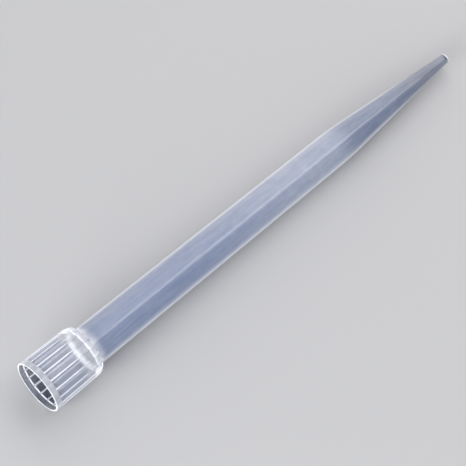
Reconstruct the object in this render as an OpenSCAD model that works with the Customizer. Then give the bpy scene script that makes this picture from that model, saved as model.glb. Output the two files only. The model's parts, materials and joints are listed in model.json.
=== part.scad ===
// A long pipette tip, moulded in one piece: a ribbed collar with a socket in its mouth,
// a slim body that narrows a little all the way, and a cone down to the small outlet.
// It lies as it comes to rest: on two neighbouring ribs of the collar and on the bend
// where the cone begins, with the outlet just clear of the bench.

/* [Overall] */
// Length along the axis, from the mouth to the outlet
tip_len = 150; // [120:1:180]

/* [Socket] */
// Diameter of the straight bore that grips the pipette's nose
socket_d = 12.8; // [11:0.1:15]
// Length of the flared lead-in at the mouth
lead_len = 1.4; // [0.6:0.1:3]
// Width of the rim left around the lead-in
rim_w = 0.45; // [0.3:0.05:0.8]
// Radius of the rim's outer edge
rim_r = 0.2; // [0.05:0.05:0.25]

/* [Collar] */
// Length from the mouth to the end of the shoulder
collar_len = 17.1; // [14:0.1:24]
// Thickness of the collar's wall at the mouth, ribs included
collar_wall = 1.2; // [1.1:0.05:1.8]
// Angle by which each side of the collar narrows towards the body
collar_draft = 1.1; // [0:0.1:1.5]
// Radius that rounds the collar's shoulder
shoulder_r = 2.4; // [1:0.1:2.6]
// Length of the plain lip before the ribs begin
lip_len = 1.6; // [0.8:0.1:4]

/* [Ribs] */
// Number of grip ribs around the collar
rib_count = 18; // [12:1:24]
// Width of a rib
rib_w = 0.5; // [0.3:0.05:0.9]
// Height of a rib above the panels between ribs
rib_h = 0.35; // [0.2:0.05:0.5]

/* [Body] */
// Width of the ledge that stops the pipette's nose, at the bottom of the socket
ledge_w = 1.6; // [1:0.1:2.4]
// Thickness of the plastic under that ledge
ledge_t = 1.8; // [1:0.1:3]
// Radius of the ledge's inner edge
ledge_r = 0.3; // [0.1:0.05:0.5]
// Thickness of the body's wall
wall = 0.8; // [0.6:0.05:1.2]
// Angle by which each side of the body narrows
body_draft = 0.39; // [0.1:0.01:0.7]

/* [Cone] */
// Length of the cone that ends in the outlet
cone_len = 42; // [30:1:60]
// Radius of the soft bend between the body and the cone
bend_r = 115; // [40:5:160]
// Diameter of the outlet
outlet_d = 1.3; // [1:0.1:2.5]
// Thickness of the wall at the outlet
outlet_wall = 0.75; // [0.5:0.05:1]
// Radius of the outer edge at the outlet
outlet_r = 0.2; // [0.05:0.05:0.3]

/* [Hidden] */
$fn = 144;

// In every section below a point is [distance from the axis, distance from the mouth].
socket_r = socket_d / 2;
collar_r = socket_r + collar_wall;
mouth_r = collar_r - rim_w;
ledge_z = collar_len - ledge_t;
bend_z = tip_len - cone_len;

// Radii of the body's bore and skin at the collar's end, and of both ends of the cone
bore_top_r = socket_r - ledge_w;
body_top_r = bore_top_r + wall;
bend_drop = (bend_z - collar_len) * tan(body_draft);
end_r = outlet_d / 2 + outlet_wall;

// How far a cutting shape runs past the surface that it opens
over = 1;

rib_pitch = 360 / rib_count;

function arc(centre, radius, from, to, steps = 8) =
    [for (i = [0:steps]) let (a = from + (to - from) * i / steps)
        centre + radius * [cos(a), sin(a)]];

// A line from top, an arc in place of the corner at bend_z, and a line to end
function softly_bent(top, corner_r, end, radius, steps = 8) =
    let (
        corner = [corner_r, bend_z],
        lean_in = atan2(top[0] - corner[0], corner[1] - top[1]),
        lean_out = atan2(corner[0] - end[0], end[1] - corner[1]),
        run_in = radius * tan((lean_out - lean_in) / 2),
        first = corner + run_in * [sin(lean_in), -cos(lean_in)],
        centre = first - radius * [cos(lean_in), sin(lean_in)]
    )
    concat([top], arc(centre, radius, lean_in, lean_out, steps), [end]);

// The body's skin starts inside the ledge, so that the collar and the body are one
skin = softly_bent(
    [body_top_r + ledge_t / 2 * tan(body_draft), collar_len - ledge_t / 2],
    body_top_r - bend_drop, [end_r, tip_len], bend_r);

bore = softly_bent(
    [bore_top_r, collar_len], bore_top_r - bend_drop,
    [outlet_d / 2, tip_len], bend_r - wall);

// Centre of the shoulder's rounding, which touches the collar's drafted side
shoulder_z = collar_len - shoulder_r;
shoulder_c = collar_r - (shoulder_z - rim_r) * tan(collar_draft)
    - shoulder_r / cos(collar_draft);

// The shoulder's outline, over the ribs or sunk by inset
function shoulder(inset) =
    arc([shoulder_c, shoulder_z], shoulder_r - inset, collar_draft, 90);

function panel_r(z) =
    collar_r - (z - rim_r) * tan(collar_draft) - rib_h / cos(collar_draft);

// ---- How the tip comes to rest: points as [distance from the mouth, reach below the axis]

// Two ribs straddle the lowest line, and each touches with the edge nearest to it
function rib_reach(r) = r * cos(rib_pitch / 2 - asin(rib_w / 2 / r));

collar_feet = concat(
    [[rim_r, collar_r]],
    [for (p = shoulder(0)) [p[1], rib_reach(p[0])]]);
body_feet = [for (p = skin) if (p[1] > collar_len) [p[1], p[0]]];

rest_slope = atan(max([for (p = collar_feet)
    min([for (q = body_feet) (p[1] - q[1]) / (q[0] - p[0])])]));
axis_height = max([for (p = concat(collar_feet, body_feet))
    p[0] * sin(rest_slope) + p[1] * cos(rest_slope)]);
middle_x = (tip_len * cos(rest_slope)
    + (end_r - outlet_r - collar_r + rim_r) * sin(rest_slope)) / 2;

module at_rest()
    translate([-middle_x, 0, axis_height])
        rotate([0, 90 + rest_slope, 0])
            children();

// ---- The solid, with its axis on +Z and its mouth at the origin

module collar_blank()
    rotate_extrude()
        polygon(concat(
            [[0, 0]],
            arc([collar_r - rim_r, rim_r], rim_r, -90, 0, 4),
            shoulder(0),
            [[0, collar_len]]));

// The room between the ribs, all the way round
module panel_room()
    rotate_extrude()
        polygon(concat(
            [[collar_r + over, lip_len - over], [panel_r(lip_len), lip_len + rib_h]],
            shoulder(rib_h),
            [[shoulder_c, collar_len + over], [collar_r + over, collar_len + over]]));

module rib_slabs()
    for (i = [0:rib_count - 1])
        rotate([0, 0, (i + 0.5) * rib_pitch])
            translate([0, -rib_w / 2, 0])
                cube([collar_r + 2 * over, rib_w, collar_len + 2 * over]);

module ribbed_collar()
    difference() {
        collar_blank();
        difference() {
            panel_room();
            rib_slabs();
        }
    }

module body()
    rotate_extrude()
        polygon(concat(
            [[0, skin[0][1]]],
            [for (i = [0:len(skin) - 2]) skin[i]],
            [[end_r + outlet_r * tan(body_draft), tip_len - outlet_r]],
            arc([end_r - outlet_r, tip_len - outlet_r], outlet_r, 0, 90, 4),
            [[0, tip_len]]));

module socket()
    union() {
        translate([0, 0, lead_len - over])
            cylinder(r = socket_r, h = ledge_z - lead_len + over);
        rotate_extrude()
            polygon([
                [0, -over],
                [mouth_r + over * (mouth_r - socket_r) / lead_len, -over],
                [socket_r, lead_len],
                [0, lead_len]]);
    }

module body_bore()
    rotate_extrude()
        polygon(concat(
            [[0, ledge_z - over], [bore_top_r + ledge_r, ledge_z - over]],
            arc([bore_top_r + ledge_r, ledge_z + ledge_r], ledge_r, 270, 180, 4),
            bore,
            [[outlet_d / 2, tip_len + over], [0, tip_len + over]]));

module pipette_tip()
    color([0.80, 0.84, 0.92])
        at_rest()
            difference() {
                union() {
                    ribbed_collar();
                    body();
                }
                socket();
                body_bore();
            }

pipette_tip();
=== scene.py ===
# %% [markdown]
# # A pipette tip
#
# The real object is one shot of natural polypropylene: a ribbed collar that a pipette's nose
# pushes into, a long body that narrows a little all the way, and a cone down to the outlet.
# The plastic has no dye in it. It looks milky because it scatters light inside, so a thin
# wall is see-through and a thick edge is nearly white.
#
# Blender's unit is the metre here, so sizes in millimetres are multiplied by MM.

# %% Load the measured frame
import json
import math

import bmesh
import bpy
from mathutils import Matrix, Vector


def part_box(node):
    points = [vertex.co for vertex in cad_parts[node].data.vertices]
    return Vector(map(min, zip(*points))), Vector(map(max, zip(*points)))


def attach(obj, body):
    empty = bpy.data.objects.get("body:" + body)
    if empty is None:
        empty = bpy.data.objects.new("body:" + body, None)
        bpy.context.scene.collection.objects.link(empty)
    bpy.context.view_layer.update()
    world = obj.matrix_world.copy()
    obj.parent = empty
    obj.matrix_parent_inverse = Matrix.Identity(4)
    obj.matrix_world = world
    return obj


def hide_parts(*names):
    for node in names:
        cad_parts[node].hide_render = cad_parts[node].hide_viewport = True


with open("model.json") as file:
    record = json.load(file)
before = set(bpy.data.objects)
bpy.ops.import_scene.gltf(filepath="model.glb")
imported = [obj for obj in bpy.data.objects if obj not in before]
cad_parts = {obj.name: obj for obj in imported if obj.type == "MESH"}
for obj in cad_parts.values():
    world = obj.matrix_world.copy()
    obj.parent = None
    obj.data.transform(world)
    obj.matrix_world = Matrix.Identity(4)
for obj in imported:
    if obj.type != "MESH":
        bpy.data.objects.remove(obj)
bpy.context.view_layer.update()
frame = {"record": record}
MM = 0.001
cad_low, cad_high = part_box("pipette_tip")
print("measured tip, mm:", [round(x / MM, 2) for x in cad_high - cad_low])

# %% [markdown]
# ## Where the tip lies
#
# The tip lies on the bench, so its axis isn't along X, Y or Z. The record says where the
# socket, its ledge and the rim are, and that is enough to find the axis: the socket points
# out of the mouth, and the rim's plane is where distances along the axis start.

# %% The axis, from the mouth towards the outlet
mounts = {mount["name"]: mount for mount in frame["record"]["mounts"]}
socket_mid = Vector(mounts["socket"]["pos_m"])
axis = -Vector(mounts["socket"]["axis"]).normalized()
to_rim = (Vector(mounts["rim"]["pos_m"]) - socket_mid).dot(axis)
mouth = socket_mid + axis * to_rim
side = Vector((0, 1, 0))
down = side.cross(axis)
at_rest = Matrix((down, side, axis)).transposed().to_4x4()
at_rest.translation = mouth
print("mouth at, mm:", [round(x / MM, 2) for x in mouth])
print("axis falls by, degrees:", round(math.degrees(math.asin(-axis.z)), 2))

# %% [markdown]
# ## Sizes
#
# A moulded part is drawn as a section that is turned about its axis. A few sizes fix that
# section, and the rest are steps from the socket outwards or inwards.

# %% Driving sizes
tip_len = 150 * MM
socket_r = mounts["socket"]["dims"]["r_mm"] * MM
lead_len = 1.4 * MM
rim_w = 0.45 * MM
collar_len = 17.1 * MM
collar_wall = 1.2 * MM
collar_draft = math.radians(1.1)
shoulder_r = 2.4 * MM
lip_len = 1.6 * MM
ledge_w = 1.6 * MM
ledge_t = 1.8 * MM
wall = 0.8 * MM
body_draft = math.radians(0.39)
cone_len = 42 * MM
bend_r = 115 * MM
outlet_r = 0.65 * MM
outlet_wall = 0.75 * MM

collar_r = socket_r + collar_wall
mouth_r = collar_r - rim_w
ledge_z = collar_len - ledge_t
bore_r = socket_r - ledge_w
body_r = bore_r + wall
bend_z = tip_len - cone_len
bend_drop = (bend_z - collar_len) * math.tan(body_draft)
end_r = outlet_r + outlet_wall
print("collar, body and outlet end, mm across:",
      [round(2 * r / MM, 2) for r in (collar_r, body_r, end_r)])

# %% [markdown]
# ## The section
#
# Corners first, roundings after. Each corner of the section is a distance from the axis, a
# distance from the mouth, and the radius that rounds it. A mould has no sharp corner, and a
# see-through part shows each rounding as a thin bright line, so every corner gets one. The
# soft bend between body and cone is just a corner with a very large radius.
#
# The collar doesn't end in a step. Its side turns over in one large rounding that runs down
# to a small foot on the body. The rounding starts where the straight side ends, and stops
# when it has turned by 70 degrees. The two lines that it touches cross at a corner, and the
# corner's place follows from the radius and the two angles.

# %% The shoulder, from the end of the collar's straight side to its foot
shoulder_turn = math.radians(70)
shoulder_z = collar_len - shoulder_r
shoulder_c = collar_r - shoulder_z * math.tan(collar_draft) - shoulder_r / math.cos(collar_draft)
corner_turn = (collar_draft + shoulder_turn) / 2
corner_far = shoulder_r / math.cos((shoulder_turn - collar_draft) / 2)
corner_r = shoulder_c + corner_far * math.cos(corner_turn)
corner_z = shoulder_z + corner_far * math.sin(corner_turn)
foot_z = corner_z + (corner_r - body_r) / math.tan(shoulder_turn)
print("shoulder from", round(shoulder_z / MM, 2), "to", round(foot_z / MM, 2), "mm")

# %% Corners of the section, once around the wall
rim_r = 0.20 * MM
rim_inner_r = 0.10 * MM
fine_r = 0.08 * MM
ledge_r = 0.30 * MM
socket_end_r = 0.25 * MM
section = [
    # outside, from the mouth to the outlet
    (mouth_r, 0.0, rim_inner_r),
    (collar_r, 0.0, rim_r),
    (corner_r, corner_z, shoulder_r),
    (body_r, foot_z, fine_r),
    (body_r - bend_drop, bend_z, bend_r),
    (end_r, tip_len, rim_r),
    # inside, back to the mouth
    (outlet_r, tip_len, fine_r),
    (bore_r - bend_drop, bend_z, bend_r - wall),
    (bore_r, ledge_z, ledge_r),
    (socket_r, ledge_z, socket_end_r),
    (socket_r, lead_len, socket_end_r),
]
print("corners of the section:", len(section))

# %% Rounding a corner
def round_corner(before, corner, after, radius, steps):
    """Points of the arc that touches both lines through the corner."""
    to_before = (before - corner).normalized()
    to_after = (after - corner).normalized()
    half = to_before.angle(to_after) / 2
    reach = radius / math.tan(half)
    centre = corner + (to_before + to_after).normalized() * (radius / math.sin(half))
    start = corner + to_before * reach - centre
    turn = math.pi - 2 * half
    sense = 1 if to_before.cross(to_after) < 0 else -1
    return [
        centre + Matrix.Rotation(sense * turn * k / steps, 2) @ start
        for k in range(steps + 1)
    ]


right_angle = (Vector((0, 0)), Vector((1, 0)), Vector((1, 1)))
rounded = round_corner(*right_angle, radius=0.5, steps=2)
print("a right angle, rounded:", [tuple(round(x, 2) for x in p) for p in rounded])

# %% Round every corner
arc_steps = 6
shoulder_steps = 9


def outline(corners):
    """The rounded section, as points once around the wall."""
    points = [Vector(c[:2]) for c in corners]
    path = []
    for i, (_, _, radius) in enumerate(corners):
        steps = shoulder_steps if radius == shoulder_r else arc_steps
        after = points[(i + 1) % len(points)]
        path.extend(round_corner(points[i - 1], points[i], after, radius, steps))
    return path


arcs = outline(section)
print("points on the rounded section:", len(arcs))

# %% [markdown]
# ## Rings
#
# Long straight stretches need few rings, but the ribbed stretch of the collar needs rings
# where the ribs rise out of the lip. The stretch between two arcs is cut so that no piece of
# it is longer than a given length. Places where the plastic's look changes within a short
# way, such as the shoulder and the outlet's end, get a few more rings on the face that shows
# it. Every ring costs 360 points, so the other face goes without.

# %% Fill the straight stretches
collar_gap = 1.5 * MM
body_gap = 7 * MM
ledge_gap = 0.4 * MM
hair = 0.01 * MM


def spacing(z):
    """Longest gap between rings, at a distance from the mouth."""
    if abs(z - ledge_z) < hair:
        return ledge_gap
    return collar_gap if z < collar_len else body_gap


def filled(path):
    """The path with points added, so that no stretch is too long."""
    out = []
    for i, p in enumerate(path):
        q = path[(i + 1) % len(path)]
        out.append(p)
        gap = (q - p).length
        pieces = max(1, math.ceil(gap / spacing(min(p.y, q.y))))
        out.extend(p.lerp(q, k / pieces) for k in range(1, pieces))
    return out


filled_arcs = filled(arcs)
print("points after filling:", len(filled_arcs))


# %% A way to add rings at given distances
least_gap = 0.02 * MM


def with_rings_at(path, outer_places, inner_places):
    """Extra rings at these distances from the mouth, on the outer and the inner face."""
    out = []
    for i, p in enumerate(path):
        q = path[(i + 1) % len(path)]
        out.append(p)
        places = sorted(outer_places) if q.y > p.y else sorted(inner_places, reverse=True)
        low, high = sorted((p.y, q.y))
        cuts = [z for z in places if low + least_gap < z < high - least_gap]
        out.extend(p.lerp(q, (z - p.y) / (q.y - p.y)) for z in cuts)
    return out


print("added rings keep away from others by, mm:", round(least_gap / MM, 2))

# %% Rings where the look changes within a short way
rib_h = 0.35 * MM

outer_places = [lip_len + rib_h * t for t in (-0.5, 0.0, 0.15, 0.35, 0.65, 0.85, 1.0, 1.5)]
outer_places += [collar_len + 0.5 * MM * k for k in range(1, 11)]
outer_places += [shoulder_z + t * MM for t in (-0.6, -0.3, -0.12, 0.1, 0.2, 0.32)]
outer_places += [tip_len - t * MM for t in (3.0, 1.1, 1.0, 0.9, 0.65, 0.46, 0.4, 0.34)]
outer_places += [t * MM for t in (0.15, 0.3, 0.45, 0.65, 0.95, 1.25)]
inner_places = [ledge_z - t * MM for t in (0.9, 0.7, 0.5, 0.35, -0.5, -0.7, -0.9, -1.1)]
inner_places += [tip_len - t * MM for t in (3.0, 1.1, 1.0, 0.1)]
inner_places += [t * MM for t in (0.15, 0.3, 0.45)]
rings = with_rings_at(filled_arcs, outer_places, inner_places)
print("rings:", len(rings))

# %% [markdown]
# ## Ribs
#
# The grip ribs are narrow, with small roundings at the crest and at the foot. Seen along the
# axis, half a rib is a short list of steps: how far round from its middle, and how deep below
# the crest. The same steps, mirrored and repeated, place every point around a ring.

# %% Half a rib, from its crest to the middle of the panel beside it
rib_count = 18
rib_w = 0.5 * MM
crest_round = 0.10 * MM
foot_round = 0.12 * MM
half_w = rib_w / 2
pitch = 2 * math.pi / rib_count
half_pitch = pitch / 2


def rounding(radius):
    """Three points on a quarter turn: how far along, and how far down."""
    turns = [math.radians(45 * k) for k in range(3)]
    return [(radius * math.sin(a), radius * (1 - math.cos(a))) for a in turns]


def half_rib():
    """Steps from the crest's middle: the angle, the depth, and the way across in metres."""
    steps = [(0.0, 0.0)]
    for along, down_by in rounding(crest_round):
        steps.append((half_w - crest_round + along, down_by))
    for rise, inward in rounding(foot_round):
        steps.append((half_w + inward, rib_h - foot_round + rise))
    panel_start = steps[-1][0]
    panel_end = half_pitch * collar_r
    for share in (0.1, 0.4, 0.7):
        steps.append((panel_start + share * (panel_end - panel_start), rib_h))
    steps.append((panel_end, rib_h))
    return [(x / collar_r, depth, x) for x, depth in steps]


half = half_rib()
print("steps on half a rib:", len(half))

# %% All the ribs, once around a ring
around = []
for k in range(rib_count):
    middle = (k + 0.5) * pitch
    around.extend((middle - a, depth, x) for a, depth, x in reversed(half[1:]))
    around.extend((middle + a, depth, x) for a, depth, x in half[:-1])
print("points around a ring:", len(around))


# %% How far the panels are sunk at a ring
def smooth(t):
    """An even rise from 0 to 1, with soft ends."""
    t = min(max(t, 0.0), 1.0)
    return t * t * (3 - 2 * t)


def outward(path, i):
    """Direction out of the plastic, across the section at a ring."""
    along = path[(i + 1) % len(path)] - path[i - 1]
    return Vector((along.y, -along.x)).normalized()


def sink_at(path, i, outer_count):
    """The way that a panel is sunk at a ring, as a step across the section."""
    p = path[i]
    if i >= outer_count or p.y < lip_len or p.y > collar_len + hair or p.x < body_r:
        return Vector((0, 0))
    share = smooth((p.y - lip_len) / rib_h)
    if p.x < body_r + fine_r:
        return Vector((0, -share))
    return -outward(path, i) * share


print("half-way up the ramp, a panel is sunk by this share:", smooth(0.5))

# %% [markdown]
# ## The mesh
#
# One closed grid: every ring is joined to the next, and the last ring to the first. So the
# wall has an outside, an inside and solid ends, as the moulded one has.

# %% Points: every ring is turned about the axis
outer_end = tip_len - 0.1 * MM
outer_count = next(i for i, p in enumerate(rings) if p.y > outer_end)
verts, on_section = [], []
for i, p in enumerate(rings):
    sink = sink_at(rings, i, outer_count)
    for angle, depth, across in around:
        q = p + sink * depth
        on_section.append((q, depth * sink.length, across, i < outer_count))
        verts.append(at_rest @ Vector((q.x * math.cos(angle), q.x * math.sin(angle), q.y)))
print("points:", len(verts))

# %% Faces: every ring is joined to the next one
n = len(around)
faces = []
for i in range(len(rings)):
    this_ring = i * n
    next_ring = (i + 1) % len(rings) * n
    for j in range(n):
        k = (j + 1) % n
        faces.append((this_ring + j, this_ring + k, next_ring + k, next_ring + j))
print("faces:", len(faces))

# %% One closed wall, with every face turned outwards
mesh = bpy.data.meshes.new("moulded_tip")
mesh.from_pydata(verts, [], faces)
bm = bmesh.new()
bm.from_mesh(mesh)
bmesh.ops.recalc_face_normals(bm, faces=bm.faces)
open_edges = sum(not edge.is_manifold for edge in bm.edges)
bm.to_mesh(mesh)
bm.free()
mesh.shade_smooth()
tip = bpy.data.objects.new("moulded_tip", mesh)
bpy.context.scene.collection.objects.link(tip)
print("open edges:", open_edges)

# %% [markdown]
# ## Milky places and clear places
#
# Natural polypropylene has no dye in it. Small crystals in it scatter light, so how white a
# place looks depends on how much plastic the light meets there. Ribs, rim, ledge and outlet
# end are nearly white. Thin panels and the long wall are clear and a little blue.
#
# Real scattering inside a wall of 0.8 mm could be traced as a volume, but that is slow and
# grainy, and most viewers can't show it. So each point of the mesh keeps a few numbers that
# stand for it, and the material turns them into colour and clearness:
#
# - milk: how white the point looks from outside, with some painted highlight and shade in it
# - milk_behind: how white the same skin looks from inside, through the mouth; its low values
#   are a painted shade
# - haze: how much the point hides what lies behind it
# - haze_behind: the same for an eye on the inside
# - grey: how grey the thin plastic is, where it would otherwise look blue

# %% Two small helpers
def mix(a, b, t):
    """From a, when t is 0, to b, when t is 1."""
    return a + (b - a) * t


def between(z, low, high, soft):
    """1 from low to high, falling to 0 over a soft distance on each side."""
    return smooth((z - low) / soft + 1) * (1 - smooth((z - high) / soft))


print("half-way from 0.2 to 0.6:", round(mix(0.2, 0.6, 0.5), 2))

# %% [markdown]
# ### The long wall, the shoulder and the outlet
#
# The shoulder is a solid ring of plastic, so it is white, and the white fades out along the
# first few millimetres of the body. From there the wall gets slightly cloudier up to the bend.
# In the cone the plastic is greyer and less milky, and it hides a little more, because the
# wall is thick for so narrow a tube. The lip at the mouth is grey in the same way. The rounded
# end of the outlet is white all round. Just before it the wall is clear, so that the bore shows
# through, painted dark there: a painted shade.

# %% Where the cone begins, and how grey the plastic is
cone_from = 103 * MM
cone_over = 9 * MM
greyer_from = 120 * MM
greyer_over = 22 * MM
cone_tone = 0.55


def in_cone(z):
    """0 in the body, rising to 1 past the soft bend."""
    return smooth((z - cone_from) / cone_over)


def grey_at(z):
    """How grey the thin plastic is at a place, from 0 for blue to 1."""
    cone_grey = in_cone(z) * mix(cone_tone, 1.0, smooth((z - greyer_from) / greyer_over))
    lip_grey = 1 - smooth((z - lip_len) / rib_h)
    return max(cone_grey, lip_grey)


print("grey of lip, body and outlet:", [round(grey_at(z), 2) for z in (0, bend_z / 2, tip_len)])


# %% Milk of the thin wall
thin_milk = 0.16
cloudier = 0.20
cloudier_from = 45 * MM
cloudier_over = 50 * MM
cone_milk = 0.10


def wall_milk_at(z):
    """Milk of the thin wall, between the shoulder and the outlet."""
    before_bend = thin_milk + cloudier * smooth((z - cloudier_from) / cloudier_over)
    return mix(before_bend, cone_milk, in_cone(z))


print("milk before the bend and in the cone:", round(wall_milk_at(100 * MM), 2), cone_milk)


# %% Milk of the shoulder
shoulder_milk = 0.80
shoulder_soft = 0.2 * MM
fade_from = 16.4 * MM
fade_len = 3.4 * MM


def shoulder_at(z):
    """White of the solid shoulder, which fades out along the body."""
    rises = smooth((z - shoulder_z + shoulder_soft) / (2 * shoulder_soft))
    return shoulder_milk * rises * (1 - smooth((z - fade_from) / fade_len))


print("white ends at, mm:", round((fade_from + fade_len) / MM, 1))

# %% The look of the wall: milk, milk_behind, haze and haze_behind
wall_haze = 0.62
cone_haze = 0.75
# The wall seen from inside has almost no milk: a painted shade.
wall_behind = 0.05
milky_haze = 0.95


def wall_look(z):
    """The look of the body, the cone and the shoulder's foot."""
    white = shoulder_at(z)
    haze = mix(mix(wall_haze, cone_haze, in_cone(z)), milky_haze, white)
    return max(wall_milk_at(z), white), wall_behind, haze, haze


for z in (18 * MM, 30 * MM, 100 * MM, 130 * MM):
    print("wall at", round(z / MM), "mm, look:", [round(x, 2) for x in wall_look(z)])

# %% The look of the outlet's end
outlet_reach = 1.3 * MM
clear_reach = 1.0 * MM
end_haze = 0.30
end_band = 0.44 * MM
end_soft = 0.1 * MM


def outlet_look(z):
    """A clear band that shows the bore, and then the white end."""
    end = smooth((z - tip_len + end_band) / end_soft)
    clear = between(z, tip_len - clear_reach, tip_len - end_band, end_soft)
    haze = mix(mix(cone_haze, end_haze, clear), milky_haze, end)
    return max(end, cone_milk), max(end, wall_behind), haze, haze


print("outlet's end, look:", [round(x, 2) for x in outlet_look(tip_len)])

# %% [markdown]
# ### The collar
#
# From outside, a rib shows as a thin bright line on its crest. The line is partly the milk of
# the thicker rib and partly a painted highlight. Each flank beside it gets a painted shade, a
# slightly darker milk, for the way the flanks bend the light away. Towards the ledge there is
# more plastic behind the skin. There the panels get milkier and the lines fade out. There the
# flanks are also painted as pale as the panels, a painted light that covers their real shade,
# so that no dark line is left. A thin white arc marks where the rounded shoulder begins.
#
# Seen from inside, through the mouth, the same rib is a broad white bar. The panel beside it is
# painted dark, a painted shade, so it shows as a dark window, and the lip's inside is painted
# darkish in the same way. The lip has no ribs, only a faint pale streak on its inside: a
# painted highlight for the light that its flare gathers. A white step runs round where the ribs
# begin, and the rim itself is a thin white line.

# %% White lines that run round the collar
ramp_end = lip_len + rib_h
line_soft = 0.1 * MM
rim_line = 0.08 * MM
rim_soft = 0.15 * MM
rim_milk = 0.85
step_inset = 0.08 * MM
arc_line = 0.2 * MM
arc_soft = 0.12 * MM


def rim_at(z):
    """The thin white line of the rim."""
    return rim_milk * (1 - smooth((z - rim_line) / rim_soft))


def step_at(z):
    """The white step where the ribs begin."""
    return between(z, lip_len + step_inset, ramp_end - step_inset, line_soft)


def white_end_at(z):
    """The shoulder's white, and the thin arc where its rounding begins."""
    return max(shoulder_at(z), between(z, shoulder_z, shoulder_z + arc_line, arc_soft))


print("rim, step and arc at their own places:",
      [round(x, 2) for x in (rim_at(0), step_at(lip_len + rib_h / 2), white_end_at(shoulder_z))])

# %% How far up the ribs a place is, and how well the ribs show there
# Width of the crest line: the rib's milk and a painted highlight.
rib_line = 0.13 * MM
crest_depth = 0.05 * MM
foot_from = 0.5
foot_over = 0.45
lost_from = 9.8 * MM
lost_over = 2.5 * MM
lost_rib = 0.85


def risen_at(z):
    """0 on the lip, 1 where the ribs have their full height."""
    return smooth((z - lip_len) / rib_h)


def on_rib_at(depth):
    """1 on a rib, falling to 0 at its foot."""
    return 1 - smooth((depth / rib_h - foot_from) / foot_over)


def on_crest_at(depth, across):
    """1 on the thin line along a rib's crest, where the rib's milk and a painted highlight go."""
    return 1 - smooth((across - rib_line) / line_soft) if depth < crest_depth else 0.0


def ribs_show_at(z):
    """How well the ribs show, which is less towards the ledge."""
    return 1 - lost_rib * smooth((z - lost_from) / lost_over)


print("ribs show at 5 and 14 mm:", round(ribs_show_at(5 * MM), 2), round(ribs_show_at(14 * MM), 2))

# %% The collar's milk, from outside, with painted highlights and painted shade
panel_milk = 0.54
window_milk = 0.88
window_from = 10.5 * MM
window_over = 0.8 * MM
# Painted shade: the flanks are darker than the panels.
flank_shaded_milk = 0.30
lip_milk = 0.52
step_front = 0.7


def collar_front(z, depth, across):
    """Crests with a painted highlight, flanks with a painted shade, milkier panels near the ledge.
    """
    on_rib = on_rib_at(depth)
    on_crest = on_crest_at(depth, across)
    show = ribs_show_at(z)
    panel = mix(panel_milk, window_milk, smooth((z - window_from) / window_over))
    # Painted shade on the flanks.
    panel = mix(panel, flank_shaded_milk, on_rib * show)
    # The crest line: the rib's milk and a painted highlight.
    front = mix(lip_milk, max(panel, on_crest * show), risen_at(z))
    front = max(front, rim_at(z), step_front * step_at(z), white_end_at(z))
    # Near the ledge the flanks are painted light, which covers their real shade.
    flank_painted_light = on_rib * (1 - on_crest) * (1 - show)
    return mix(front, 1.0, flank_painted_light)


print("crest and panel from outside:", collar_front(8 * MM, 0, 0),
      collar_front(8 * MM, rib_h, half_w * 3))

# %% The collar's milk, from inside, with painted shade and a painted highlight
# From inside, low milk is a painted shade: with the shaded colour it turns dark.
lip_behind = 0.20
# A painted highlight on the lip's inside, for the light that its flare gathers.
lip_highlight = 0.14
lip_highlight_from = 0.8 * MM
lip_highlight_to = 1.0 * MM
lip_highlight_soft = 0.3 * MM
# The shoulder seen from inside: a painted shade.
shoulder_behind = 0.05


def collar_behind(z, depth):
    """White bars for ribs, a painted shade for dark windows and lip, a painted highlight on the lip.
    """
    highlight = lip_highlight * between(z, lip_highlight_from, lip_highlight_to, lip_highlight_soft)
    # Ribs white; panels and lip a painted shade; the lip's painted highlight on top.
    behind = mix(lip_behind + highlight, on_rib_at(depth), risen_at(z))
    return max(behind, rim_at(z), step_at(z), shoulder_behind * white_end_at(z))


print("rib and panel from inside:", collar_behind(8 * MM, 0), collar_behind(8 * MM, rib_h))

# %% The collar's haze, and its whole look
panel_haze = 0.45
lip_haze = 0.70
flank_haze = 0.9
# From inside the panels hide more, so their painted shade reads as a dark window.
window_haze = 0.75


def collar_look(z, depth, across):
    """The look of the lip, the ribs and the panels."""
    rib_haze = flank_haze * on_rib_at(depth)
    haze = mix(lip_haze, max(panel_haze, rib_haze * ribs_show_at(z)), risen_at(z))
    haze_behind = mix(window_haze, max(window_haze, rib_haze), risen_at(z))
    lines = milky_haze * max(rim_at(z), step_at(z))
    thick = max(lines, mix(panel_haze, milky_haze, white_end_at(z)))
    front = collar_front(z, depth, across)
    return front, collar_behind(z, depth), max(haze, thick), max(haze_behind, thick)


def skin_look(p, depth, across):
    """The look of a point on the outer face."""
    if p.y > tip_len - outlet_reach:
        return outlet_look(p.y)
    if p.y > foot_z - least_gap or p.x < body_r + hair:
        return wall_look(p.y)
    return collar_look(p.y, depth, across)


for name, depth, across in (("crest", 0, 0), ("panel", rib_h, half_w * 3)):
    values = [round(x, 2) for x in collar_look(8 * MM, depth, across)]
    print(name, "look:", values)

# %% [markdown]
# ### The bore
#
# The core pin of the mould is polished, so the inner face is glassy and adds almost no milk of
# its own. The ledge is the exception: it is the thickest place in the part, and it shows
# through the collar as a bright ring. The edge of the hole in it is whitest, and the flat
# beyond that edge lets a little more light through. At the outlet the narrow bore in thick
# plastic is painted dark, a painted shade, up to its own white edge.

# %% Milk of the inner face
inner_rim_milk = 0.6
inner_rim_soft = 0.3 * MM
ledge_glow = 0.25 * MM
ledge_soft = 0.2 * MM
edge_band = 0.75 * MM
bore_milk = 0.04
bore_rise = 0.5 * MM
bore_fade = 5 * MM
hole_edge = 0.06 * MM


def on_ledge_at(z):
    """1 on the ledge and on the last stretch of the socket's side."""
    return between(z, ledge_z - ledge_glow, ledge_z, ledge_soft)


def on_edge_at(z):
    """1 at the edge of the ledge's hole and just inside it."""
    return between(z, ledge_z + least_gap, ledge_z + edge_band, ledge_soft)


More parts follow.
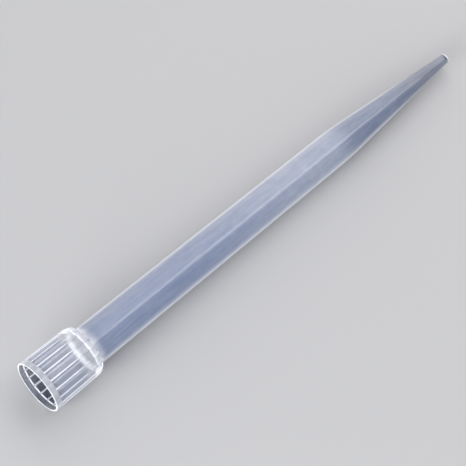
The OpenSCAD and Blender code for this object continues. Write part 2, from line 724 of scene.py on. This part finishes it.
def inner_milk_at(z):
    """Milk of the inner face: almost none, but for its edges and the ledge."""
    if z > tip_len - hole_edge:
        return 1.0
    rim = inner_rim_milk * (1 - smooth(z / inner_rim_soft))
    past_ledge = z - ledge_z
    fading = smooth(past_ledge / bore_rise) * (1 - smooth(past_ledge / bore_fade))
    return max(rim, on_ledge_at(z), on_edge_at(z), bore_milk * fading)


print("milk of ledge and bore:", inner_milk_at(ledge_z), round(inner_milk_at(60 * MM), 2))

# %% Haze of the inner face, and its whole look
inside_haze = 0.08
ledge_haze = 0.65
ring_w = 0.7 * MM
side_band = 0.2 * MM
# The outlet's bore is nearly opaque there, so that its painted shade shows.
hole_haze = 0.9
hole_depth = 1.05 * MM


def bore_look(p):
    """The look of a point on the inner face."""
    z = p.y
    milk = inner_milk_at(z)
    # The painted shade of the narrow bore: no milk, so dark, and nearly opaque.
    if tip_len - hole_depth < z < tip_len - hole_edge:
        return milk, milk, hole_haze, hole_haze
    haze = mix(inside_haze, milky_haze, milk)
    if on_ledge_at(z) > on_edge_at(z) and p.x > bore_r + ring_w:
        haze = mix(inside_haze, ledge_haze, on_ledge_at(z))
    haze_behind = inside_haze if p.x > socket_r - side_band else haze
    return milk, milk, haze, haze_behind


looks = [
    skin_look(p, depth, across) if outside else bore_look(p)
    for p, depth, across, outside in on_section
]
print("points with a look:", len(looks))

# %% [markdown]
# ### Where the silhouette turns white
#
# A tube's wall is seen edge-on at its two sides, where the eye looks through several
# millimetres of plastic. A thin white line runs along both: partly the whiter look of that long
# path, partly a painted rim light. The material makes that line from the viewing angle. Two
# more layers help it: edge says how strongly each point takes part, and barrel is the direction
# away from the axis. With barrel the line follows the round tube, and not each small rounding
# of a rib. The solid shoulder takes part most, the sunk panels least, and along the cone the
# line gets weaker as the tube gets narrower.

# %% How strongly each place takes part
panel_edge = 0.35
sunk_share = 0.8
# The solid shoulder's painted rim light is the strongest.
shoulder_edge = 6.0
shoulder_reach = 1.2 * MM
shoulder_edge_soft = 0.5 * MM
cone_edge = 0.6
narrow_from = 122 * MM
narrow_over = 18 * MM


def edge_at(z, depth, outside):
    """How strongly a point whitens, as a painted rim light, where the wall turns away."""
    if not outside:
        return 0.0
    on_shoulder = between(z, ledge_z - shoulder_reach, collar_len, shoulder_edge_soft)
    plain = panel_edge if depth > sunk_share * rib_h else 1.0
    plain = mix(plain, cone_edge, smooth((z - narrow_from) / narrow_over))
    return mix(plain, shoulder_edge, on_shoulder)


edges = [edge_at(p.y, depth, outside) for p, depth, across, outside in on_section]
print("strongest and weakest edge:", max(edges), min(edges))

# %% Store the layers on the mesh
layers = {
    "milk": [look[0] for look in looks],
    "milk_behind": [look[1] for look in looks],
    "haze": [look[2] for look in looks],
    "haze_behind": [look[3] for look in looks],
    "edge": edges,
    "grey": [grey_at(p.y) if outside else 0.0 for p, depth, across, outside in on_section],
}
for name, values in layers.items():
    layer = mesh.attributes.new(name, "FLOAT", "POINT")
    layer.data.foreach_set("value", values)
print("layers on the mesh:", list(layers))

# %% The direction away from the axis, as a layer of its own
barrel = []
for vertex in mesh.vertices:
    from_axis = vertex.co - mouth
    from_axis -= axis * from_axis.dot(axis)
    barrel.extend(from_axis.normalized())
mesh.attributes.new("barrel", "FLOAT_VECTOR", "POINT").data.foreach_set("vector", barrel)
print("directions stored:", len(barrel) // 3)

# %% [markdown]
# ## Camera
#
# A long lens from half a metre away, looking down on the tip with the mouth nearest. A long
# lens keeps the two sides of the tube nearly parallel, so that its own slight taper shows.

# %% Camera
view_azimuth = math.radians(-43.87)
view_height = math.radians(59.30)
looked_at = Vector((-8.09, -1.49, 7.6)) * MM
camera_distance = 561.4 * MM
sensor_mm = 36
lens_mm = 165.56
nearest_seen = 0.01

forward = Vector((
    -math.sin(view_azimuth) * math.cos(view_height),
    math.cos(view_azimuth) * math.cos(view_height),
    -math.sin(view_height),
))
camera_data = bpy.data.cameras.new("camera")
camera_data.sensor_width = sensor_mm
camera_data.lens = lens_mm
camera_data.clip_start = nearest_seen
camera = bpy.data.objects.new("camera", camera_data)
camera.location = looked_at - forward * camera_distance
camera.rotation_euler = forward.to_track_quat("-Z", "Y").to_euler()
bpy.context.scene.collection.objects.link(camera)
bpy.context.scene.camera = camera
bpy.context.scene.view_settings.view_transform = "Standard"
print("camera at, m:", [round(x, 3) for x in camera.location])

# %% [markdown]
# ## Lamps
#
# A glossy tube is lit by what it mirrors. One long soft panel hangs beside the tip, and its
# near edge lies where the eye, mirrored in the middle of the tube, looks. So the upper half
# of the tube mirrors the panel, the lower half doesn't, and a clean line runs between them
# along the whole length. The mirrored direction comes from the camera and the axis. It is
# turned a few degrees further, which puts the line a little below the middle.

# %% Where the panel's near edge must be
sideways = forward - axis * forward.dot(axis)
mirrored = (axis * forward.dot(axis) - sideways).normalized()
line_shift = 7
near_angle = math.degrees(math.atan2(mirrored.z, mirrored.y)) + line_shift
print("near edge of the panel, degrees round the tip:", round(near_angle, 1))


# %% A soft panel of a given brightness
def soft_panel(name, place, towards, wide, tall, radiance, tint=(1, 1, 1), mirrors=True):
    """An area lamp. Its radiance is what a white card as bright as it would show."""
    data = bpy.data.lights.new(name, "AREA")
    data.shape = "RECTANGLE"
    data.size = wide
    data.size_y = tall
    data.energy = radiance * math.pi * wide * tall
    data.color = tint
    lamp = bpy.data.objects.new(name, data)
    lamp.location = place
    lamp.rotation_euler = towards.to_track_quat("-Z", "Y").to_euler()
    lamp.visible_camera = False
    lamp.visible_glossy = mirrors
    bpy.context.scene.collection.objects.link(lamp)
    print(name, "watts:", round(data.energy, 2))


# %% Two panels above the tip: a broad one, and a narrow one along its near edge
key_radiance = 1.8
key_tint = (1.0, 0.97, 0.95)
key_wide = 0.62
key_shift = 0.46
key_low = 8
key_away = 0.6
strip_radiance = 1.5
strip_spread = 15
strip_away = key_away - 0.01


def overhead_panel(name, low, away, radiance):
    """A panel across the tip, from the angle low up to the near edge."""
    middle = math.radians((low + near_angle) / 2)
    half = math.radians((near_angle - low) / 2)
    out = Vector((0, math.cos(middle), math.sin(middle)))
    place = out * away + Vector((key_shift, 0, 0))
    tall = 2 * away * math.tan(half)
    soft_panel(name, place, -out, key_wide, tall, radiance, key_tint)


overhead_panel("key_panel", key_low, key_away, key_radiance)
overhead_panel("strip_panel", near_angle - strip_spread, strip_away, strip_radiance)

# %% [markdown]
# Two more lamps only brighten and aren't mirrored. One stands off the mouth and shines into
# the socket, so that the ledge and the ribs behind it show. A weak one on the near side lifts
# the lower edge of the tube off the bench.

# %% Two lamps that fill
mouth_radiance = 16.0
mouth_wide = 0.6
mouth_tall = 0.30
mouth_lamp_at = Vector((-0.80, -0.14, 0.30))
fill_radiance = 1.2
fill_wide = 0.6
fill_tall = 0.14
fill_lamp_at = Vector((0, -0.5, 0.09))
fill_towards = Vector((0, 1, -0.17))

soft_panel("mouth_panel", mouth_lamp_at, mouth - mouth_lamp_at,
           mouth_wide, mouth_tall, mouth_radiance, mirrors=False)
soft_panel("fill_panel", fill_lamp_at, fill_towards,
           fill_wide, fill_tall, fill_radiance, mirrors=False)

# %% [markdown]
# ## Bench and room
#
# A plain pale bench carries the tip and its soft shadow. The room is one even light. Seen
# directly, the room and the far part of the bench are the same pale grey, so that no horizon
# cuts through a low view. Only what the eye sees is changed: the light on the tip stays.

# %% The room
room_light = 0.5
room_tint = (0.92, 0.95, 1.0)
backdrop = (0.58, 0.58, 0.59)

world = bpy.data.worlds.new("room")
bpy.context.scene.world = world
world.use_nodes = True
room = world.node_tree
room_glow = room.nodes["Background"]
room_glow.inputs["Color"].default_value = (*room_tint, 1)
room_glow.inputs["Strength"].default_value = room_light
seen_room = room.nodes.new("ShaderNodeBackground")
seen_room.inputs["Color"].default_value = (*backdrop, 1)
room_ray = room.nodes.new("ShaderNodeLightPath")
room_mix = room.nodes.new("ShaderNodeMixShader")
room.links.new(room_ray.outputs["Is Camera Ray"], room_mix.inputs[0])
room.links.new(room_glow.outputs[0], room_mix.inputs[1])
room.links.new(seen_room.outputs[0], room_mix.inputs[2])
room.links.new(room_mix.outputs[0], room.nodes["World Output"].inputs["Surface"])
print("room light:", room_light, "room as seen:", backdrop)

# %% The bench
bench_half = 3.0

corners = [(-1, -1), (1, -1), (1, 1), (-1, 1)]
bench_mesh = bpy.data.meshes.new("bench")
bench_mesh.from_pydata([(x * bench_half, y * bench_half, 0) for x, y in corners], [], [(0, 1, 2, 3)])
bench = bpy.data.objects.new("bench", bench_mesh)
bpy.context.scene.collection.objects.link(bench)
print("bench, m across:", 2 * bench_half)

# %% The bench's paint
bench_colour = (0.465, 0.465, 0.475)
bench_rough = 0.8

bench_paint = bpy.data.materials.new("bench_paint")
bench_paint.use_nodes = True
tree = bench_paint.node_tree
paint = tree.nodes["Principled BSDF"]
paint.inputs["Base Color"].default_value = (*bench_colour, 1)
paint.inputs["Roughness"].default_value = bench_rough
print("bench colour:", bench_colour)

# %% How the bench fades into the room
fades_from = 0.14
fades_to = 0.38

glow = tree.nodes.new("ShaderNodeEmission")
glow.inputs["Color"].default_value = (*backdrop, 1)
spot = tree.nodes.new("ShaderNodeTexCoord")
reach = tree.nodes.new("ShaderNodeVectorMath")
reach.operation = "LENGTH"
far = tree.nodes.new("ShaderNodeMapRange")
far.interpolation_type = "SMOOTHSTEP"
far.inputs["From Min"].default_value = fades_from
far.inputs["From Max"].default_value = fades_to
ray = tree.nodes.new("ShaderNodeLightPath")
seen_far = tree.nodes.new("ShaderNodeMath")
seen_far.operation = "MULTIPLY"
fade = tree.nodes.new("ShaderNodeMixShader")
tree.links.new(spot.outputs["Object"], reach.inputs[0])
tree.links.new(reach.outputs["Value"], far.inputs["Value"])
tree.links.new(far.outputs["Result"], seen_far.inputs[0])
tree.links.new(ray.outputs["Is Camera Ray"], seen_far.inputs[1])
tree.links.new(seen_far.outputs[0], fade.inputs[0])
tree.links.new(paint.outputs[0], fade.inputs[1])
tree.links.new(glow.outputs[0], fade.inputs[2])
tree.links.new(fade.outputs[0], tree.nodes["Material Output"].inputs["Surface"])
bench_mesh.materials.append(bench_paint)
print("bench fades from", fades_from, "to", fades_to, "m")

# %% [markdown]
# ## The plastic
#
# Moulded polypropylene is glossy but not perfect. The steel of the mould was polished along
# the tip, so very fine lengthwise streaks change its gloss, and the milk inside is slightly
# cloudy, drawn out the way the melt flowed. Both come from noise in the tip's own space.
#
# The numbers that are the same everywhere go straight onto the shader.

# %% Shader values
refraction = 1.49
mirror_level = 0.8
coat_weight = 0.3
coat_rough = 0.06

plastic = bpy.data.materials.new("polypropylene")
plastic.use_nodes = True
tree = plastic.node_tree
skin = tree.nodes["Principled BSDF"]
skin.inputs["IOR"].default_value = refraction
skin.inputs["Specular IOR Level"].default_value = mirror_level
skin.inputs["Coat Weight"].default_value = coat_weight
skin.inputs["Coat Roughness"].default_value = coat_rough
print("index of refraction:", refraction)


# %% Short names for the nodes that are used most
def math_node(operation, a, b):
    """A Math node on two inputs, each another node's output or a plain number."""
    node = tree.nodes.new("ShaderNodeMath")
    node.operation = operation
    for socket, value in zip(node.inputs, (a, b)):
        if isinstance(value, bpy.types.NodeSocket):
            tree.links.new(value, socket)
        else:
            socket.default_value = value
    return node.outputs[0]


def blend_node(kind, factor, a, b):
    """A Mix node, for numbers (FLOAT) or colours (RGBA)."""
    node = tree.nodes.new("ShaderNodeMix")
    node.data_type = kind
    open_sockets = [s for s in node.inputs if s.enabled]
    for socket, value in zip(open_sockets, (factor, a, b)):
        if isinstance(value, bpy.types.NodeSocket):
            tree.links.new(value, socket)
        else:
            socket.default_value = value
    return next(s for s in node.outputs if s.enabled)


def layer_node(name):
    """One of the mesh's layers, found by its name."""
    node = tree.nodes.new("ShaderNodeAttribute")
    node.attribute_name = name
    return node


print("nodes before the first helper is used:", len(tree.nodes))

# %% Noise that is drawn out along the tip
noise_low = 0.3
noise_high = 0.7
place = tree.nodes.new("ShaderNodeTexCoord")


def drawn_noise(stretch, size, detail, roughness):
    """Noise of a given grain size, stretched along the tip."""
    shrunk = tree.nodes.new("ShaderNodeMapping")
    shrunk.inputs["Scale"].default_value = (1 / stretch, 1, 1)
    node = tree.nodes.new("ShaderNodeTexNoise")
    node.inputs["Scale"].default_value = 1 / size
    node.inputs["Detail"].default_value = detail
    node.inputs["Roughness"].default_value = roughness
    tree.links.new(place.outputs["Object"], shrunk.inputs["Vector"])
    tree.links.new(shrunk.outputs["Vector"], node.inputs["Vector"])
    return node.outputs["Fac"]


def rescaled(value, low, high):
    """The middle part of a noise, stretched to go from low to high."""
    node = tree.nodes.new("ShaderNodeMapRange")
    node.inputs["From Min"].default_value = noise_low
    node.inputs["From Max"].default_value = noise_high
    node.inputs["To Min"].default_value = low
    node.inputs["To Max"].default_value = high
    tree.links.new(value, node.inputs["Value"])
    return node.outputs["Result"]


print("the noise is used between", noise_low, "and", noise_high)

# %% Clouds in the plastic, and streaks on its skin
cloud_size = 2.2 * MM
cloud_stretch = 1.5
streak_size = 0.9 * MM
streak_stretch = 14
clouds = drawn_noise(cloud_stretch, cloud_size, detail=3.0, roughness=0.6)
streaks = drawn_noise(streak_stretch, streak_size, detail=2.0, roughness=0.5)
print("clouds and streaks, mm:", round(cloud_size / MM, 2), round(streak_size / MM, 2))

# %% [markdown]
# ### Gloss and streaks
#
# The streaks change the roughness a little and push the surface in and out by a hundredth of
# a millimetre. That is too fine for geometry, and just enough to break up a reflection.

# %% Roughness and bump
rough_low = 0.06
rough_high = 0.12
bump_depth = 0.01 * MM
bump_strength = 0.3
tree.links.new(rescaled(streaks, rough_low, rough_high), skin.inputs["Roughness"])
bump = tree.nodes.new("ShaderNodeBump")
bump.inputs["Strength"].default_value = bump_strength
bump.inputs["Distance"].default_value = bump_depth
tree.links.new(streaks, bump.inputs["Height"])
tree.links.new(bump.outputs["Normal"], skin.inputs["Normal"])
print("roughness from", rough_low, "to", rough_high)

# %% [markdown]
# ### Milk, clouds and the white silhouette
#
# The milk layer is multiplied by the clouds, and the streaks add a little. Then the viewing
# angle takes over: where the round wall turns away from the eye, milk and haze rise towards
# one, and the rising milk is a painted rim light. A Layer Weight node gives that angle.

# %% Milk, made cloudy and streaky
cloud_low = 0.82
cloud_high = 1.10
streak_milk = 0.04

cloud_share = rescaled(clouds, cloud_low, cloud_high)
cloudy = math_node("MULTIPLY", layer_node("milk").outputs["Fac"], cloud_share)
cloudy = math_node("ADD", cloudy, rescaled(streaks, -streak_milk, streak_milk))
print("clouds change the milk by", cloud_low, "to", cloud_high, "times")

# %% How far the wall turns away from the eye
edge_from = 0.33
edge_to = 0.80
even_blend = 0.5

turned = tree.nodes.new("ShaderNodeLayerWeight")
turned.inputs["Blend"].default_value = even_blend
tree.links.new(layer_node("barrel").outputs["Vector"], turned.inputs["Normal"])
turning = tree.nodes.new("ShaderNodeMapRange")
turning.interpolation_type = "SMOOTHSTEP"
turning.inputs["From Min"].default_value = edge_from
turning.inputs["From Max"].default_value = edge_to
tree.links.new(turned.outputs["Facing"], turning.inputs["Value"])
at_edge = math_node("MULTIPLY", turning.outputs["Result"], layer_node("edge").outputs["Fac"])
print("silhouette whitens from", edge_from, "to", edge_to)

# %% Milk and haze as seen from outside
# Painted rim light: how white the silhouette turns.
edge_white = 0.8
edge_haze = 0.8

milk_outside = blend_node("FLOAT", math_node("MULTIPLY", at_edge, edge_white), cloudy, 1.0)
haze_outside = layer_node("haze").outputs["Fac"]
haze_outside = blend_node("FLOAT", math_node("MULTIPLY", at_edge, edge_haze), haze_outside, 1.0)
print("white and haze of the silhouette:", edge_white, edge_haze)

# %% [markdown]
# ### Colour
#
# From outside the thin plastic is a pale blue, because it scatters blue light most. From
# inside, looking out through it, the thin skin is painted nearly black: a painted shade for the
# tip's own shade, so the windows seen through the mouth look dark. The Backfacing output tells
# the two sides of the skin apart.

# %% Colour and alpha
thin_colour = (0.13, 0.20, 0.39)
grey_colour = (0.10, 0.125, 0.20)
milky_colour = (0.90, 0.915, 0.97)
# Painted shade: the colour of thin skin seen from inside.
shaded_colour = (0.05, 0.055, 0.075)

is_back = tree.nodes.new("ShaderNodeNewGeometry").outputs["Backfacing"]
milk = blend_node("FLOAT", is_back, milk_outside, layer_node("milk_behind").outputs["Fac"])
thin = blend_node("RGBA", layer_node("grey").outputs["Fac"], (*thin_colour, 1), (*grey_colour, 1))
# From inside, the thin colour gives way to the painted shade.
thin_or_painted_shade = blend_node("RGBA", is_back, thin, (*shaded_colour, 1))
colour = blend_node("RGBA", milk, thin_or_painted_shade, (*milky_colour, 1))
tree.links.new(colour, skin.inputs["Base Color"])
haze = blend_node("FLOAT", is_back, haze_outside, layer_node("haze_behind").outputs["Fac"])
tree.links.new(haze, skin.inputs["Alpha"])
mesh.materials.append(plastic)
print("nodes in the plastic:", len(tree.nodes))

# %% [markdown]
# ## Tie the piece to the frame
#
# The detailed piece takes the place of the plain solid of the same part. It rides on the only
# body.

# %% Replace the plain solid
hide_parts("pipette_tip")
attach(tip, "root")
